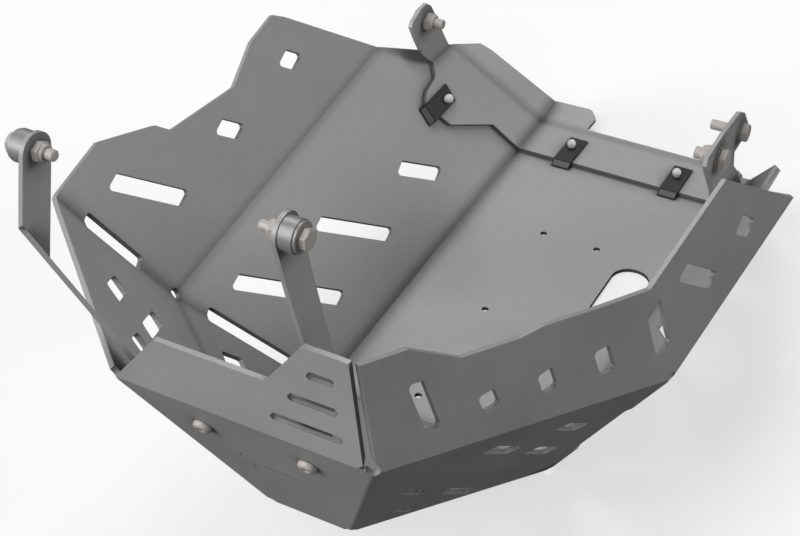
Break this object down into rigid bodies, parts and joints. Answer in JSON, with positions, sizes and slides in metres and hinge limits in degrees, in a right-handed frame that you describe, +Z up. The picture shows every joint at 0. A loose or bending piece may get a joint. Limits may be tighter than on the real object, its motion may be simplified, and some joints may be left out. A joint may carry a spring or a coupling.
{
  "type": "engine guard",
  "caption": "Folded sheet-metal guard for the underside of a motorcycle engine, with a drain opening, bent front brackets and upright rear lugs with their bolts.",
  "frame": {"origin": "on the centre line of the flat floor's underside, at the middle of the six floor holes", "axes": "+Z up, square to the floor; +Y to the rear of the motorcycle; +X to the side that the picture shows on the right"},
  "size_m": [0.4777, 0.7919, 0.4023],
  "materials": {
    "guard_sheet": "matte, blasted",
    "rear_sheet": "matte, blasted",
    "bracket_metal": "satin",
    "spacer_metal": "turned",
    "fastener_steel": "bright",
    "clip_metal": "matte black"
  },
  "bodies": {
    "root": {"skid_plate": "guard_sheet", "rear_plate": "rear_sheet", "front_left_bracket": "bracket_metal", "front_right_bracket": "bracket_metal", "front_left_bolt": "fastener_steel", "front_left_washer": "fastener_steel", "front_left_spacer": "spacer_metal", "front_left_nut": "fastener_steel", "front_right_bolt": "fastener_steel", "front_right_washer": "fastener_steel", "front_right_spacer": "spacer_metal", "front_right_nut": "fastener_steel", "rear_left_bolt": "fastener_steel", "rear_left_washer": "fastener_steel", "rear_left_nut": "fastener_steel", "rear_right_bolt": "fastener_steel", "rear_right_washer": "fastener_steel", "rear_right_nut": "fastener_steel", "rear_right_upper_bolt": "fastener_steel", "rear_right_upper_washer": "fastener_steel", "nose_left_screw": "fastener_steel", "nose_left_nut": "fastener_steel", "nose_right_screw": "fastener_steel", "nose_right_nut": "fastener_steel", "left_clip": "clip_metal", "left_clip_screw": "fastener_steel", "middle_clip": "clip_metal", "middle_clip_screw": "fastener_steel", "right_clip": "clip_metal", "right_clip_screw": "fastener_steel"}
  },
  "joints": []
}
